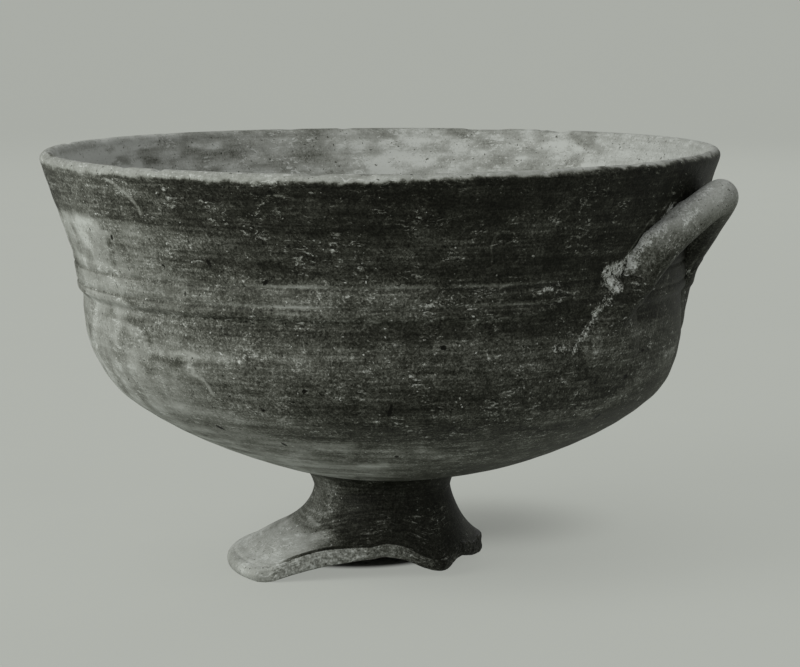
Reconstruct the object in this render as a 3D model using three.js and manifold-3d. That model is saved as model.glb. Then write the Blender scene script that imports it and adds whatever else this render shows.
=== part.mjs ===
// Footed bowl with one loop handle, in fired clay. A wheel-thrown bowl stands on a thrown hollow foot
// whose rim is broken away at the front and on one side. A rolled handle hangs on the wall. Slip clay
// lutes the foot and both ends of the handle to the bowl.
// Millimetres, +Z up, handle on +X. The origin lies on the standing surface, under the middle of the
// overall length from the far rim to the tip of the handle.
import * as THREE from 'three';
import { mergeVertices } from 'three/addons/utils/BufferGeometryUtils.js';
import Module from 'manifold-3d';

// Gap between two clay pieces that meet
const clearance = 0.3;

// Bowl, from the underside up to the lip
const undersideHeight = 25.5; // underside above the standing surface, on the axis
const undersideRadius = 128; // spherical underside
const shoulderRadius = 24; // rounding from the underside into the wall
const wallRadius = 88.5; // outside of the upright wall
const wallHeight = 12.6; // upright wall between shoulder and ridged band
const wallThickness = 5;
const floorThickness = 7;
const bandHeight = 11.5; // ridged band
const bandStep = 1.4; // band proud of the wall at its lower edge
const bandFlare = 1; // how much wider the band is at its upper edge
const grooveDepth = 0.8;
const grooveWidth = 2;
const lowerGrooveRise = 3.2; // groove above the lower edge of the band
const upperGrooveRise = 8.7;
const flareHeight = 29; // flaring wall from the band to the top of the lip
const rimRadius = 100; // lip at its widest
const lipThickness = 4.4;
const lipBandHeight = 16; // lip band, measured down from the top of the lip
const lipBandStep = 0.5; // lip band proud of the flare under it

// Foot
const stemRadius = 20.4;
const stemHeight = 0.4; // straight neck under the fillet of the joint
const boreRadius = 14.2; // hollow of the neck
const footRadius = 46.8;
const footEdgeHeight = 5.4; // top of the rounded outer edge
const footEdgeRound = 2.6;
const baseWidth = 3.2; // flat ring that the foot stands on
const flareNeckPull = 3.5; // how far the outside runs down from the neck before it flares
const flareRimPull = 20; // how far the top of the ring runs in from the edge
const ringSlope = 9; // slope of the top of the ring, in degrees
const hollowNeckPull = 14; // how far the hollow runs down from the neck before it flares
const hollowRimPull = 9; // how far the hollow runs in from the base ring
const hollowSlope = 20; // slope of the hollow at the base ring, in degrees
const slump = 3.2; // drop of the flare on its low side, and its rise on the high side
const hollowSlump = 4.8; // the same for the hollow, which leaves the low side thicker
const slumpAzimuth = 14; // direction of the low side, in degrees from the handle

// Break of the foot, as corners of the broken edge: distance from the axis and degrees from the handle
const frontBreakStart = -117.5;
const frontCornerRadius = 30.4;
const frontCornerAzimuth = -31.3;
const middleCornerRadius = 27.7;
const middleCornerAzimuth = 11.5;
const sideCornerRadius = 32.2;
const sideCornerAzimuth = 42;
const sideBreakEnd = 85;

// Luting of the foot
const jointThickness = 1.2; // slip layer between the foot and the underside
const jointFilletReach = 3.4; // fillet out along the underside
const jointFilletDrop = 1.8; // fillet down the neck

// Handle
const coilRadius = 5.15;
const handleStandOff = 2.4; // clear gap to the wall at the tip of the loop
const tipDrop = 12.8; // middle of the coil under the rim, at the tip
const shoulderDrop = 22; // where the arms turn into the bend
const shoulderHalfWidth = 17;
const shoulderGrip = 3.8; // middle of the coil outside the wall, at the turn
const armDrop = 34; // half way down the arms
const armHalfWidth = 22.5;
const frontArmGrip = 0.2;
const rearArmGrip = -2.2;
const rootDrop = 43; // ends of the coil, inside the luting
const rootHalfWidth = 29.5;
const frontRootGrip = -2.4;
const rearRootGrip = -4.2;

// Luting of the handle, one wad of clay over each end of the coil
const wadHalfLength = 13.5;
const wadHalfBreadth = 12;
const wadCover = 1.6; // clay over the end of the coil
const wadLean = 28; // lean of the wad along the arm, in degrees

// Fineness of the round forms
const turnSegments = 56;
const arcSegments = 3;
const flareSegments = 7;
const coilSegments = 7;
const coilSteps = 36;
const wadSegments = 18;

const degrees = Math.PI / 180;
const wasm = await Module();
wasm.setup();

// Closed solid from a mesh, with shared corners merged and empty triangles left out
function solidOf(geometry) {
  const bare = geometry.clone();
  bare.deleteAttribute('normal');
  bare.deleteAttribute('uv');
  const merged = mergeVertices(bare);
  const corners = merged.index.array;
  const triangles = [];
  for (let i = 0; i < corners.length; i += 3) {
    const [a, b, c] = corners.slice(i, i + 3);
    if (a !== b && b !== c && c !== a) triangles.push(a, b, c);
  }
  return new wasm.Manifold(new wasm.Mesh({
    numProp: 3,
    vertProperties: new Float32Array(merged.attributes.position.array),
    triVerts: new Uint32Array(triangles),
  }));
}

function geometryOf(solid) {
  const mesh = solid.getMesh();
  const geometry = new THREE.BufferGeometry();
  geometry.setAttribute('position', new THREE.BufferAttribute(mesh.vertProperties, 3));
  geometry.setIndex(new THREE.BufferAttribute(mesh.triVerts, 1));
  geometry.computeVertexNormals();
  return geometry;
}

// Turned form about Z from an outline of radius and height
function turned(outline) {
  const geometry = new THREE.LatheGeometry(outline, turnSegments);
  geometry.rotateX(Math.PI / 2);
  return geometry;
}

function point(radius, height) {
  return new THREE.Vector2(radius, height);
}

function piece(name, solid, material) {
  const mesh = new THREE.Mesh(geometryOf(solid), material);
  mesh.name = name;
  return mesh;
}

// Heights and radii of the bowl that follow from the sizes
const undersideCentre = undersideHeight + undersideRadius;

function shoulderCentreHeight(capRadius, rounding, radius) {
  return undersideCentre - Math.sqrt((capRadius - rounding) ** 2 - (radius - rounding) ** 2);
}

const shoulderTop = shoulderCentreHeight(undersideRadius, shoulderRadius, wallRadius);
const bandBottom = shoulderTop + wallHeight;
const bandTop = bandBottom + bandHeight;
const rimHeight = bandTop + flareHeight;
const lipHeight = rimHeight - lipThickness / 2;
const bandTopRadius = wallRadius + bandStep + bandFlare;

function undersideAt(radius) {
  return undersideCentre - Math.sqrt(undersideRadius ** 2 - radius ** 2);
}

// Spherical floor from the axis, rounded into an upright wall
function floorAndShoulder(capRadius, rounding, radius) {
  const centre = point(radius - rounding, shoulderCentreHeight(capRadius, rounding, radius));
  const turn = Math.atan2(centre.y - undersideCentre, centre.x);
  const path = new THREE.Path();
  path.absarc(0, undersideCentre, capRadius, -Math.PI / 2, turn, false);
  path.absarc(centre.x, centre.y, rounding, turn, 0, false);
  return path.getPoints(arcSegments);
}

function bandRadiusAt(rise) {
  return wallRadius + bandStep + bandFlare * rise / bandHeight;
}

function groove(rise) {
  const half = grooveWidth / 2;
  return [
    point(bandRadiusAt(rise - half), bandBottom + rise - half),
    point(bandRadiusAt(rise) - grooveDepth, bandBottom + rise),
    point(bandRadiusAt(rise + half), bandBottom + rise + half),
  ];
}

// Outside of the bowl from the axis up to the widest line of the lip, with grooves at the given rises
function bowlOutside(grooveRises) {
  const creaseHeight = rimHeight - lipBandHeight;
  const share = (creaseHeight - bandTop) / (lipHeight - bandTop);
  const creaseRadius = bandTopRadius + share * (rimRadius - bandTopRadius);
  return [
    ...floorAndShoulder(undersideRadius, shoulderRadius, wallRadius),
    point(wallRadius, bandBottom - bandStep / 2),
    point(bandRadiusAt(0), bandBottom + bandStep / 2),
    ...grooveRises.flatMap(groove),
    point(bandTopRadius, bandTop),
    point(creaseRadius - lipBandStep / 2, creaseHeight - lipBandStep),
    point(creaseRadius + lipBandStep / 2, creaseHeight + lipBandStep),
    point(rimRadius, lipHeight),
  ];
}

// Inside of the bowl from the axis up to the lip, smooth where the outside is ridged
function bowlInside() {
  const wall = floorAndShoulder(
    undersideRadius - floorThickness, shoulderRadius - wallThickness, wallRadius - wallThickness);
  return [
    ...wall,
    point(wallRadius - wallThickness, bandBottom),
    point(bandTopRadius - wallThickness, bandTop),
  ];
}

function lipRound() {
  const path = new THREE.Path();
  path.absarc(rimRadius - lipThickness / 2, lipHeight, lipThickness / 2, 0, Math.PI, false);
  return path.getPoints(arcSegments);
}

const outside = bowlOutside([]);

function outsideRadiusAt(height) {
  const above = outside.findIndex((corner) => corner.y >= height);
  const [low, high] = [outside[above - 1], outside[above]];
  return low.x + (high.x - low.x) * (height - low.y) / (high.y - low.y);
}

function bowlSolid() {
  const grooved = bowlOutside([lowerGrooveRise, upperGrooveRise]);
  return solidOf(turned([...grooved, ...lipRound().slice(1), ...bowlInside().reverse()]));
}

// Filled form of the bowl without its grooves, grown by the clearance, that the handle and its luting
// are cut to
function bowlSeat() {
  const last = outside.length - 1;
  const grown = outside.slice(1).map((corner, i) => {
    const along = outside[Math.min(i + 2, last)].clone().sub(outside[i]).normalize();
    return point(corner.x + clearance * along.y, corner.y - clearance * along.x);
  });
  const bottom = point(0, undersideHeight - clearance);
  return solidOf(turned([bottom, ...grown, point(rimRadius, rimHeight), point(0, rimHeight)]));
}

// Levels of the joint between foot and bowl, and radii of the base ring
const footSeat = jointThickness + 2 * clearance;
const neckTop = undersideAt(stemRadius) - footSeat;
const boreTop = undersideAt(boreRadius) - footSeat;
const baseRadius = footRadius - footEdgeRound / 2;
const hollowRadius = baseRadius - baseWidth;

// Outside of the foot from the axis: base, carried on below the standing surface, rounded edge, flare
// and neck
function footOutside() {
  const neck = neckTop - jointFilletDrop - stemHeight;
  const edge = footRadius - footEdgeRound;
  const path = new THREE.Path();
  path.moveTo(0, -slump);
  path.lineTo(baseRadius, -slump);
  path.lineTo(baseRadius, 0);
  path.quadraticCurveTo(footRadius, 0, footRadius, footEdgeHeight / 2);
  path.quadraticCurveTo(footRadius, footEdgeHeight, edge, footEdgeHeight);
  path.bezierCurveTo(
    edge - flareRimPull * Math.cos(ringSlope * degrees),
    footEdgeHeight + flareRimPull * Math.sin(ringSlope * degrees),
    stemRadius, neck - flareNeckPull, stemRadius, neck);
  path.lineTo(stemRadius, neckTop);
  path.lineTo(boreRadius, boreTop);
  path.lineTo(0, boreTop);
  return path.getPoints(flareSegments);
}

// Hollow of the foot from the axis, open at the standing surface and at the joint
function footHollow() {
  const path = new THREE.Path();
  path.moveTo(0, -hollowSlump);
  path.lineTo(hollowRadius, -hollowSlump);
  path.lineTo(hollowRadius, 0);
  path.bezierCurveTo(
    hollowRadius - hollowRimPull * Math.cos(hollowSlope * degrees),
    hollowRimPull * Math.sin(hollowSlope * degrees),
    boreRadius, boreTop - hollowNeckPull, boreRadius, boreTop);
  path.lineTo(boreRadius, undersideCentre);
  path.lineTo(0, undersideCentre);
  return path.getPoints(flareSegments);
}

// Uneven throwing: the form between neck and edge hangs lower on one side than on the other
function slumped(geometry, amount) {
  const place = geometry.attributes.position;
  for (let i = 0; i < place.count; i += 1) {
    const radius = Math.hypot(place.getX(i), place.getY(i));
    const azimuth = Math.atan2(place.getY(i), place.getX(i));
    const share = THREE.MathUtils.clamp((radius - stemRadius) / (footRadius - stemRadius), 0, 1);
    const drop = amount * Math.sin(Math.PI * share) * Math.cos(azimuth - slumpAzimuth * degrees);
    place.setZ(i, place.getZ(i) - drop);
  }
  return geometry;
}

function polar(radius, azimuth) {
  return point(radius * Math.cos(azimuth * degrees), radius * Math.sin(azimuth * degrees));
}

// Upright prism over the part of the foot that is broken away
function brokenAway() {
  const outer = 2 * footRadius;
  const outline = [
    polar(outer, frontBreakStart),
    polar(footRadius, frontBreakStart),
    polar(frontCornerRadius, frontCornerAzimuth),
    polar(middleCornerRadius, middleCornerAzimuth),
    polar(sideCornerRadius, sideCornerAzimuth),
    polar(footRadius, sideBreakEnd),
    polar(outer, sideBreakEnd),
    polar(2 * outer, (frontBreakStart + sideBreakEnd) / 2),
  ];
  const prism = new THREE.ExtrudeGeometry(new THREE.Shape(outline), {
    depth: undersideHeight + 4 * slump, bevelEnabled: false,
  });
  prism.translate(0, 0, -4 * slump);
  return solidOf(prism);
}

function belowStandingSurface() {
  const slab = new THREE.BoxGeometry(4 * footRadius, 4 * footRadius, 4 * slump);
  slab.translate(0, 0, -2 * slump);
  return solidOf(slab);
}

function footSolid() {
  const body = solidOf(slumped(turned(footOutside()), slump));
  const hollow = solidOf(slumped(turned(footHollow()), hollowSlump));
  return body.subtract(hollow).subtract(belowStandingSurface()).subtract(brokenAway());
}

// Slip layer on top of the neck, with a fillet squeezed out round it
function footLutingSolid() {
  const inner = boreRadius + clearance;
  const side = stemRadius + clearance;
  const reach = side + jointFilletReach;
  const layer = clearance + jointThickness;
  const path = new THREE.Path();
  path.moveTo(inner, undersideAt(inner) - layer);
  path.lineTo(side, undersideAt(side) - layer);
  path.lineTo(side, undersideAt(side) - layer - jointFilletDrop);
  path.quadraticCurveTo(
    side + clearance, undersideAt(side) - layer, reach, undersideAt(reach) - clearance);
  path.lineTo(side, undersideAt(side) - clearance);
  path.lineTo(inner, undersideAt(inner) - clearance);
  path.closePath();
  return solidOf(turned(path.getPoints(arcSegments)));
}

// Point on or near the wall: sideways from the middle of the handle, under the rim, out of the wall
function byTheWall(sideways, drop, out) {
  const height = rimHeight - drop;
  const radius = outsideRadiusAt(height) + out;
  return new THREE.Vector3(Math.sqrt(radius ** 2 - sideways ** 2), sideways, height);
}

const tipOut = coilRadius + handleStandOff;

// Rolled coil, from one root up an arm, round the tip and down to the other root
function coilSolid(radius) {
  const route = new THREE.CatmullRomCurve3([
    byTheWall(-rootHalfWidth, rootDrop, frontRootGrip),
    byTheWall(-armHalfWidth, armDrop, frontArmGrip),
    byTheWall(-shoulderHalfWidth, shoulderDrop, shoulderGrip),
    byTheWall(0, tipDrop, tipOut),
    byTheWall(shoulderHalfWidth, shoulderDrop, shoulderGrip),
    byTheWall(armHalfWidth, armDrop, rearArmGrip),
    byTheWall(rootHalfWidth, rootDrop, rearRootGrip),
  ]);
  const section = new THREE.Shape();
  section.absarc(0, 0, radius, 0, 2 * Math.PI, false);
  return solidOf(new THREE.ExtrudeGeometry(section, {
    steps: coilSteps, curveSegments: coilSegments, extrudePath: route, bevelEnabled: false,
  }));
}

function handleSolid() {
  return coilSolid(coilRadius).subtract(bowlSeat());
}

// Wad of clay smeared over one end of the coil and down the wall under it
function wadSolid(side, rootGrip) {
  const height = Math.max(coilRadius + rootGrip, 0) + wadCover;
  const middle = byTheWall(side * rootHalfWidth, rootDrop, 0);
  const wad = new THREE.SphereGeometry(1, wadSegments, wadSegments);
  wad.scale(height, wadHalfBreadth, wadHalfLength);
  wad.rotateX(side * wadLean * degrees);
  wad.rotateZ(Math.atan2(middle.y, middle.x));
  wad.translate(middle.x, middle.y, middle.z);
  return solidOf(wad).subtract(bowlSeat()).subtract(coilSolid(coilRadius + clearance));
}

function clay(color, roughness) {
  return new THREE.MeshStandardMaterial({ color, roughness, metalness: 0 });
}

const slippedClay = clay(0x34352f, 0.62);
const wornClay = clay(0x5c5d55, 0.75);
const lutingClay = clay(0x45463f, 0.8);

// The axis of the bowl stands back from the origin by half of what the handle reaches past the rim
const handleReach = outsideRadiusAt(rimHeight - tipDrop) + tipOut + coilRadius;
const footedBowl = new THREE.Group();
footedBowl.position.x = -Math.max(handleReach - rimRadius, 0) / 2;
footedBowl.add(
  piece('bowl', bowlSolid(), slippedClay),
  piece('foot', footSolid(), wornClay),
  piece('foot_luting', footLutingSolid(), lutingClay),
  piece('handle', handleSolid(), slippedClay),
  piece('handle_luting_front', wadSolid(-1, frontRootGrip), lutingClay),
  piece('handle_luting_rear', wadSolid(1, rearRootGrip), lutingClay),
);

export default footedBowl;
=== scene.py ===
# Looks of a footed bowl of fired clay: dark slip, worn to the paler clay under it, with one loop handle.
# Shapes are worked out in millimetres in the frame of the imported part, and meshes are made in metres.
import itertools
import math
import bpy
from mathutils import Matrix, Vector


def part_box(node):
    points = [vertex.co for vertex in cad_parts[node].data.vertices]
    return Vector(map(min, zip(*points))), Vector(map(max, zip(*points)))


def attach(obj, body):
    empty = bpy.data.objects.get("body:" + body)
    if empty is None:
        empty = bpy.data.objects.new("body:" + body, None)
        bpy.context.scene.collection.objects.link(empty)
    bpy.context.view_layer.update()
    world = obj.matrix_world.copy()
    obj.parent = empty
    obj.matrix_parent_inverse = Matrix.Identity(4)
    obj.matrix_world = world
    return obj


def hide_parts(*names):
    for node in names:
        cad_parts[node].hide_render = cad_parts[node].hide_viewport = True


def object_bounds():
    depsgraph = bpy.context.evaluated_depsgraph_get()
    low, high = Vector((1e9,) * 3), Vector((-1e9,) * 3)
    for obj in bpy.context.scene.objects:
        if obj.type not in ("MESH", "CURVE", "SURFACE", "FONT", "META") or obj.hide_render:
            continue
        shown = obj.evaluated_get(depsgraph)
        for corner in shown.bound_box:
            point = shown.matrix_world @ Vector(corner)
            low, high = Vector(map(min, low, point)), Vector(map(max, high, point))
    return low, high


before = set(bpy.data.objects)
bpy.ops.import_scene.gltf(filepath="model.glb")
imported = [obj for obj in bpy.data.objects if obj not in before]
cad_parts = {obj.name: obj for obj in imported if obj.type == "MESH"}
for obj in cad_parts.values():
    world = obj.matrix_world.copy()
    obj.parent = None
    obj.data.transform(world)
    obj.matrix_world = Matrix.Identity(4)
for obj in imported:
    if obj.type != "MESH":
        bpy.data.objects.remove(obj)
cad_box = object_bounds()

from types import SimpleNamespace

import bpy
import numpy as np
from mathutils import Matrix, Vector

MM = 0.001

# Bowl, in millimetres, with drops measured down from the rim
bowl_low, bowl_high = (np.array(corner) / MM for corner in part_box("bowl"))
axis_x = (bowl_low[0] + bowl_high[0]) / 2
axis_place = np.array([axis_x, 0, 0])
rim_height = bowl_high[2]
rim_radius = (bowl_high[1] - bowl_low[1]) / 2
underside_height = bowl_low[2]
underside_radius = 128
shoulder_radius = 24
wall_radius = 88.5
wall_thickness = 5
floor_thickness = 7
band_bottom_drop = 40.5
band_top_drop = 29
band_step = 1.4
band_flare = 1
lip_band_drop = 16
lip_band_step = 0.5
lip_thickness = 4.4
groove_drops = (31.8, 37.3)
groove_depth = 0.45
groove_width = 0.5
corner_rounding = 0.5

# How this bowl departs from its turned form
shoulder_slimming = 1.3
shoulder_height = 62
shoulder_spread = 10
underside_lift = 1.2
underside_tilt = 0.5
tilt_radius = 70
upper_lean = 0.6
lower_lean = 2.9
throwing_pitch = 6.5
ridge_outside = 0.05
ridge_inside = 0.12
unevenness = 0.22
small_chip = 0.5
large_chip = 0.7
rim_sag = 0.5
rim_sag_turn = 0.6

# Spacing of the points along the section of the bowl, and the drops that it is for
outside_spacing = 0.72
inside_spacing = 1.8
upper_inside_spacing = 0.8
upper_inside_drop = 26
band_spacing = 0.42
band_middle_drop = 35
band_reach = 8
lip_spacing = 0.36
lip_drop = 4.5
front_columns = 450
back_columns = 300
front_start = -165
front_end = 12

# Foot
foot_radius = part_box("foot")[1][1] / MM
stem_radius = 20.4
bore_radius = 14.2
edge_height = 5.4
foot_edge_round = 2.6
base_width = 3.2
flare_neck_pull = 3.5
flare_rim_pull = 20
ring_slope = math.radians(9)
hollow_neck_pull = 14
hollow_rim_pull = 9
hollow_slope = math.radians(20)
slump = 3.2
hollow_slump = 4.8
slump_azimuth = 14
uphill_slump = 0.6
outer_droop = 4.0
hollow_droop = 1.4
droop_radius = 29
rim_fall = 1.2
worn_edge = 0.5
flare_clearance = 0.4
neck_drop = 2.2
joint_gap = 1.8
foot_columns = 420
outer_rows = 64
inner_rows = 44

# Broken edge of the foot: corners as distance from the axis and degrees from the handle, and its roughness
break_corners = ((foot_radius, -117.5), (30.4, -31.3), (27.7, 11.5), (32.2, 42), (foot_radius, 85))
break_wander = 0.6
break_bite = 0.40
break_grit = 0.28
foot_lumps = 0.20

# Slip clay round the neck of the foot
fillet_reach = 3.4
fillet_drop = 2.6
fillet_columns = 240

# Handle: sideways from its middle, drop, and middle of the coil out of the wall
coil_radius = 5.15
root_depth = 2.2
handle_route = (
    (-32, 44, -2.4), (-24.5, 34, 0.4), (-17.5, 22, 3.8), (0, 11.8, 7.55),
    (16, 22, 2.6), (22.5, 34, -2.2), (29.5, 43, -4.2),
)
route_points = 220
coil_columns = 72
coil_shrinkage = 0.15
coil_swell = 0.22
crust_filling = 2.4
wad_lean = math.radians(28)
wad_rings = 46
wad_spokes = 120

# Towards the crease between the front arm and the wall, where lime has gathered
crease_direction = np.array([-0.64, -0.28, 0.70])

# Camera: the angles and distance at which the photograph was taken
camera_azimuth = math.radians(24)
camera_distance = 800
camera_rise = 54.4
camera_yaw = math.radians(0.40)
camera_pitch = math.radians(7.85)
camera_roll = math.radians(-0.28)
focal_pixels = 2706
image_width = 800
sensor_width = 36

# Lamps: name, place in metres to the right of, beyond and above the bowl in the camera's view, size, power
lamps = (
    ("key", (-1.15, -0.75, 0.80), 1.1, 25),
    ("fill", (1.1, -0.9, 0.7), 1.0, 3.5),
    ("back", (0.3, 1.4, 0.9), 1.2, 7),
)
lamp_aim_height = 70
ambient_strength = 0.36

# Stage, in millimetres: the floor rises behind the bowl in a bend
stage_half_width = 3000
stage_front = -1800
bend_start = 2200
bend_radius = 900
backdrop_top = 2600

# Shade on the floor: middles to the right of and beyond the foot, and distances at which it starts and ends
foot_shade_place = (-8, 22)
foot_shade_edge = (28.5, 34.5)
wide_shade_edge = (50, 150)
body_shade_place = (30, 58)
body_shade_edge = (4, 52)

# Reflectance of slip, clay and stage
slip_level = 0.009
clay_level = 0.33
luting_level = 0.32
floor_levels = (0.54, 0.56)
floor_glow = 0.44
backdrop_level = 0.42
red_share = 0.965
blue_share = 0.925
blue_power = 1.07


# Small tools

def step(low, high, value):
    """Smooth change from 0 at low to 1 at high, whichever of the two is greater."""
    share = np.clip((value - low) / (high - low), 0, 1)
    return share * share * (3 - 2 * share)


def mixed(share, first, second):
    return first + (second - first) * share


def bell(value, middle, width):
    return np.exp(-((value - middle) / width) ** 2)


def unit(vectors):
    return vectors / np.linalg.norm(vectors, axis=-1, keepdims=True)


def wrapped(degrees):
    return (degrees + 180) % 360 - 180


def turned(radius, angle, height):
    return np.stack([radius * np.cos(angle), radius * np.sin(angle), height + 0 * angle], -1)


# Noise: a lattice that lies askew, and large odd numbers that mix up its corners
askew = np.array(Matrix.Rotation(0.9, 3, Vector((0.48, 0.60, 0.64))))
seed_offset = 0.37
corner_factors = (73856093, 19349663, 83492791)
seed_factor = 2654435761
scrambling = ((13, 1274126177), (15, 668265263))


def noise(place, cell, seed):
    """Smooth value noise from -1 to 1 at points in millimetres."""
    scaled = np.asarray(place, float) @ askew / cell + seed_offset * seed
    corner = np.floor(scaled).astype(np.int64)
    share = scaled - corner
    share = share * share * (3 - 2 * share)
    total = 0
    for offset in itertools.product((0, 1), repeat=3):
        x, y, z = np.moveaxis((corner + offset) * corner_factors, -1, 0)
        mixed_up = x ^ y ^ z ^ (seed * seed_factor)
        for shift, factor in scrambling:
            mixed_up = (mixed_up ^ (mixed_up >> shift)) * factor & 0x7FFFFFFF
        weight = np.prod(np.where(offset, share, 1 - share), axis=-1)
        total = total + weight * (mixed_up & 0xFFFF) / 0xFFFF
    return 2 * total - 1


def fractal(place, cell, seed, octaves=3):
    """Noise summed over octaves, each half the size and strength of the one before."""
    layers = [noise(place, cell / 2 ** n, seed + n) / 2 ** n for n in range(octaves)]
    return sum(layers) / (2 - 2 ** (1 - octaves))


# Lines of points

def round_turn(count, start=0):
    return start + np.arange(count) * 2 * math.pi / count


def arc(centre, radius, start, end, count):
    turn = np.linspace(start, end, count)
    return np.stack([centre[0] + radius * np.cos(turn), centre[1] + radius * np.sin(turn)], -1)


def bezier(points, count):
    a, b, c, d = np.array(points, float)
    t = np.linspace(0, 1, count)[:, None]
    return a * (1 - t) ** 3 + 3 * b * t * (1 - t) ** 2 + 3 * c * t ** 2 * (1 - t) + d * t ** 3


def lengths_along(points):
    return np.concatenate([[0], np.cumsum(np.linalg.norm(np.diff(points, axis=0), axis=1))])


def resampled(points, places):
    along = lengths_along(points)
    return np.stack([np.interp(places, along, column) for column in points.T], -1)


def stretch(points, start, end, count):
    """Points from one share of a line's list of points to another."""
    picks = np.linspace(start, end, count) * (len(points) - 1)
    return np.stack([np.interp(picks, np.arange(len(points)), column) for column in points.T], -1)


def smoothing(reach, spread):
    weights = np.exp(-0.5 * (np.arange(-reach, reach + 1) / spread) ** 2)
    return weights / weights.sum()


def rounded(points, spread, spacing=0.1):
    """The same line with its corners rounded off over about the given spread."""
    along = lengths_along(points)
    dense = resampled(points, np.arange(0, along[-1], spacing))
    reach = int(4 * spread / spacing)
    before = 2 * dense[0] - dense[reach:0:-1]
    after = 2 * dense[-1] - dense[-2:-reach - 2:-1]
    padded = np.concatenate([before, dense, after])
    weights = smoothing(reach, spread / spacing)
    return np.stack([np.convolve(column, weights, "valid") for column in padded.T], -1)


# Meshes, with what the materials read at each point

far_off = 9.0


def surface_layers(tone, along, lime=0, scratch=far_off, nick=far_off, fracture=0):
    """Tone, way along the section, lime, distances to scratches and nicks, and share of break."""
    return dict(tone=tone, along=along, lime=lime, scratch=scratch, nick=nick, fracture=fracture)


def skin(name, places, layers, loop=False):
    """Closed mesh over a grid whose columns close on themselves. In a loop so do the rows, and else the first
    and the last row are drawn together into a point each."""
    rows, columns = places.shape[:2]
    numbers = np.arange(rows * columns).reshape(rows, columns)
    points = places.reshape(-1, 3)
    layers = {key: np.broadcast_to(value, (rows, columns)).reshape(-1) for key, value in layers.items()}
    leading = numbers if loop else numbers[1:-2]
    following = np.roll(numbers, -1, axis=0) if loop else numbers[2:-1]
    quads = np.stack([leading, np.roll(leading, -1, 1), np.roll(following, -1, 1), following], -1)
    faces = quads.reshape(-1, 4).tolist()
    if not loop:
        points = np.concatenate([points, [places[0].mean(0), places[-1].mean(0)]])
        layers = {
            key: np.concatenate([value, [value[:columns].mean(), value[-columns:].mean()]])
            for key, value in layers.items()
        }
        first, last = rows * columns, rows * columns + 1
        for j in range(columns):
            after = (j + 1) % columns
            faces.append([first, numbers[1, after], numbers[1, j]])
            faces.append([last, numbers[-2, j], numbers[-2, after]])
    return mesh_piece(name, points, faces, layers)


def new_object(name, data):
    thing = bpy.data.objects.new(name, data)
    bpy.context.scene.collection.objects.link(thing)
    return thing


def mesh_piece(name, points, faces, layers):
    used = np.unique(np.concatenate([np.ravel(face) for face in faces]))
    renumbered = np.full(len(points), -1)
    renumbered[used] = np.arange(len(used))
    mesh = bpy.data.meshes.new(name)
    mesh.from_pydata((points[used] * MM).tolist(), [], [renumbered[face].tolist() for face in faces])
    for key, values in layers.items():
        attribute = mesh.attributes.new(key, "FLOAT", "POINT")
        attribute.data.foreach_set("value", values[used].astype(np.float32))
    mesh.shade_smooth()
    return new_object(name, mesh)


# Shape of the bowl

cap_centre = underside_height + underside_radius


def floor_and_shoulder(cap, rounding, radius, count=40):
    centre_height = cap_centre - math.sqrt((cap - rounding) ** 2 - (radius - rounding) ** 2)
    centre = (radius - rounding, centre_height)
    turn = math.atan2(centre_height - cap_centre, radius - rounding)
    return np.vstack([
        arc((0, cap_centre), cap, -math.pi / 2, turn, count),
        arc(centre, rounding, turn, 0, count)[1:],
    ])


def bowl_outside():
    band_bottom = rim_height - band_bottom_drop
    band_top = rim_height - band_top_drop
    lip_height = rim_height - lip_thickness / 2
    crease = rim_height - lip_band_drop
    band_radius = wall_radius + band_step
    band_top_radius = band_radius + band_flare
    share = (crease - band_top) / (lip_height - band_top)
    crease_radius = mixed(share, band_top_radius, rim_radius)
    wall = [
        (wall_radius, band_bottom - band_step / 2),
        (band_radius, band_bottom + band_step / 2),
        (band_top_radius, band_top),
        (crease_radius - lip_band_step / 2, crease - lip_band_step),
        (crease_radius + lip_band_step / 2, crease + lip_band_step),
        (rim_radius, lip_height),
    ]
    return np.vstack([floor_and_shoulder(underside_radius, shoulder_radius, wall_radius), wall])


def bowl_inside():
    inside_radius = wall_radius - wall_thickness
    base = floor_and_shoulder(
        underside_radius - floor_thickness, shoulder_radius - wall_thickness, inside_radius)
    wall = [
        (inside_radius, rim_height - band_bottom_drop),
        (inside_radius + band_step + band_flare, rim_height - band_top_drop),
    ]
    return np.vstack([base, wall])


outside = rounded(bowl_outside(), corner_rounding)


def wall_at(height):
    """Outside radius of the bowl at a height above its shoulder."""
    return np.interp(height, outside[:, 1], outside[:, 0])


def bowl_outline():
    """Section from the axis outside to the axis inside: points, which are outside, and lengths to them."""
    lip_centre = (rim_radius - lip_thickness / 2, rim_height - lip_thickness / 2)
    lip = arc(lip_centre, lip_thickness / 2, 0, math.pi, 24)
    line = rounded(np.vstack([bowl_outside(), lip[1:], bowl_inside()[::-1]]), corner_rounding)
    along = lengths_along(line)
    drop = rim_height - line[:, 1]
    top = along[np.argmin(drop)]
    outer = along < top
    on_band = outer & (np.abs(drop - band_middle_drop) < band_reach)
    spacing = np.select(
        [drop < lip_drop, on_band, outer, drop < upper_inside_drop],
        [lip_spacing, band_spacing, outside_spacing, upper_inside_spacing], inside_spacing)
    count = np.concatenate([[0], np.cumsum(np.diff(along) / spacing[1:])])
    picks = np.interp(np.linspace(0, count[-1], int(count[-1])), count, along)
    return resampled(line, picks), picks < top, picks


def column_angles():
    """Angles round the axis, closer together on the side that faces the camera."""
    front = np.linspace(front_start, front_end, front_columns, endpoint=False)
    back = np.linspace(front_end, front_start + 360, back_columns, endpoint=False)
    return np.radians(np.concatenate([front, back]))


def leaning(height):
    """How far the lower body stands off the axis towards the right of the camera's view."""
    return upper_lean * step(100, 80, height) + lower_lean * step(80, 42, height) * step(26, 34, height)


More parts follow.
